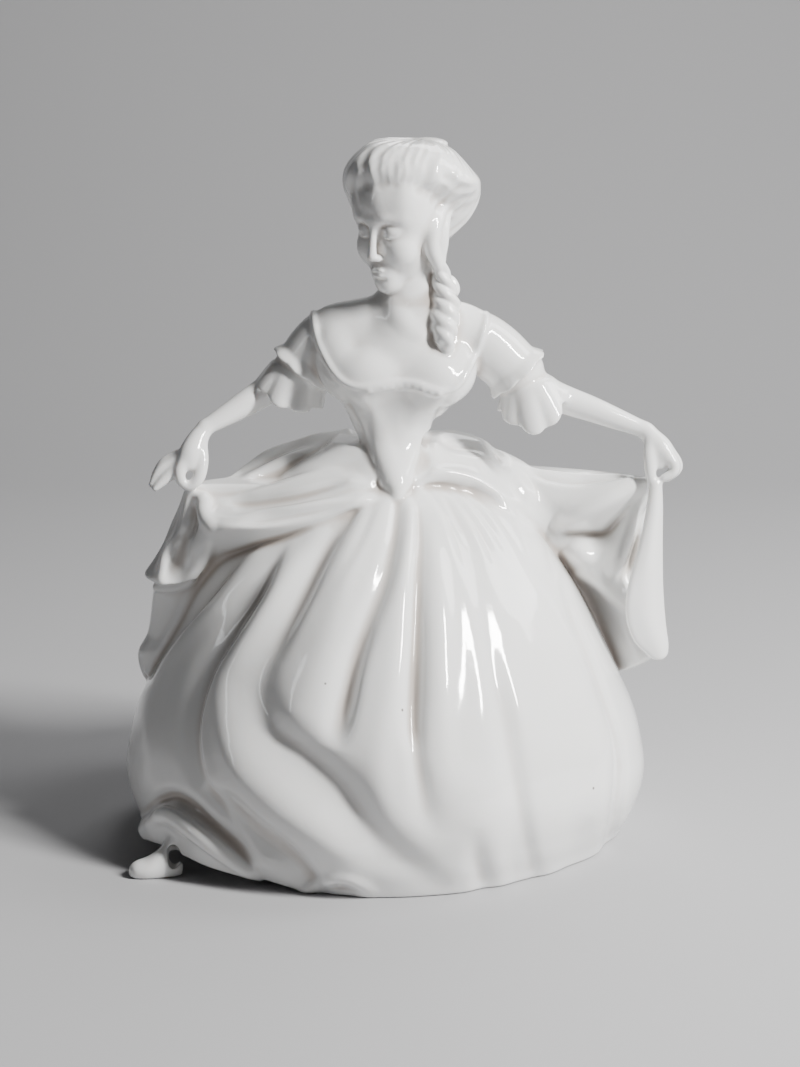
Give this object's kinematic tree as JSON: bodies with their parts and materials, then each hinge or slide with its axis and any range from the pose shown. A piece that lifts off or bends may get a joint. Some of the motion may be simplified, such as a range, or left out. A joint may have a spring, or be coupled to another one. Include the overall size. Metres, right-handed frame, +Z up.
{
  "type": "porcelain dancer figurine",
  "caption": "White glazed porcelain figurine of a dancer in a wide hooped gown, arms spread, each hand lifting the side of her overskirt.",
  "frame": {"origin": "middle of the bounding box in plan, on the plane the figurine stands on", "axes": "+Z up, the front of the figurine faces -Y, +X on the viewer's right when seen from the front"},
  "size_m": [0.1686, 0.1522, 0.2096],
  "materials": {
    "glaze": "clear high-gloss glaze over white porcelain"
  },
  "bodies": {
    "root": {"figurine": "glaze"}
  },
  "joints": []
}
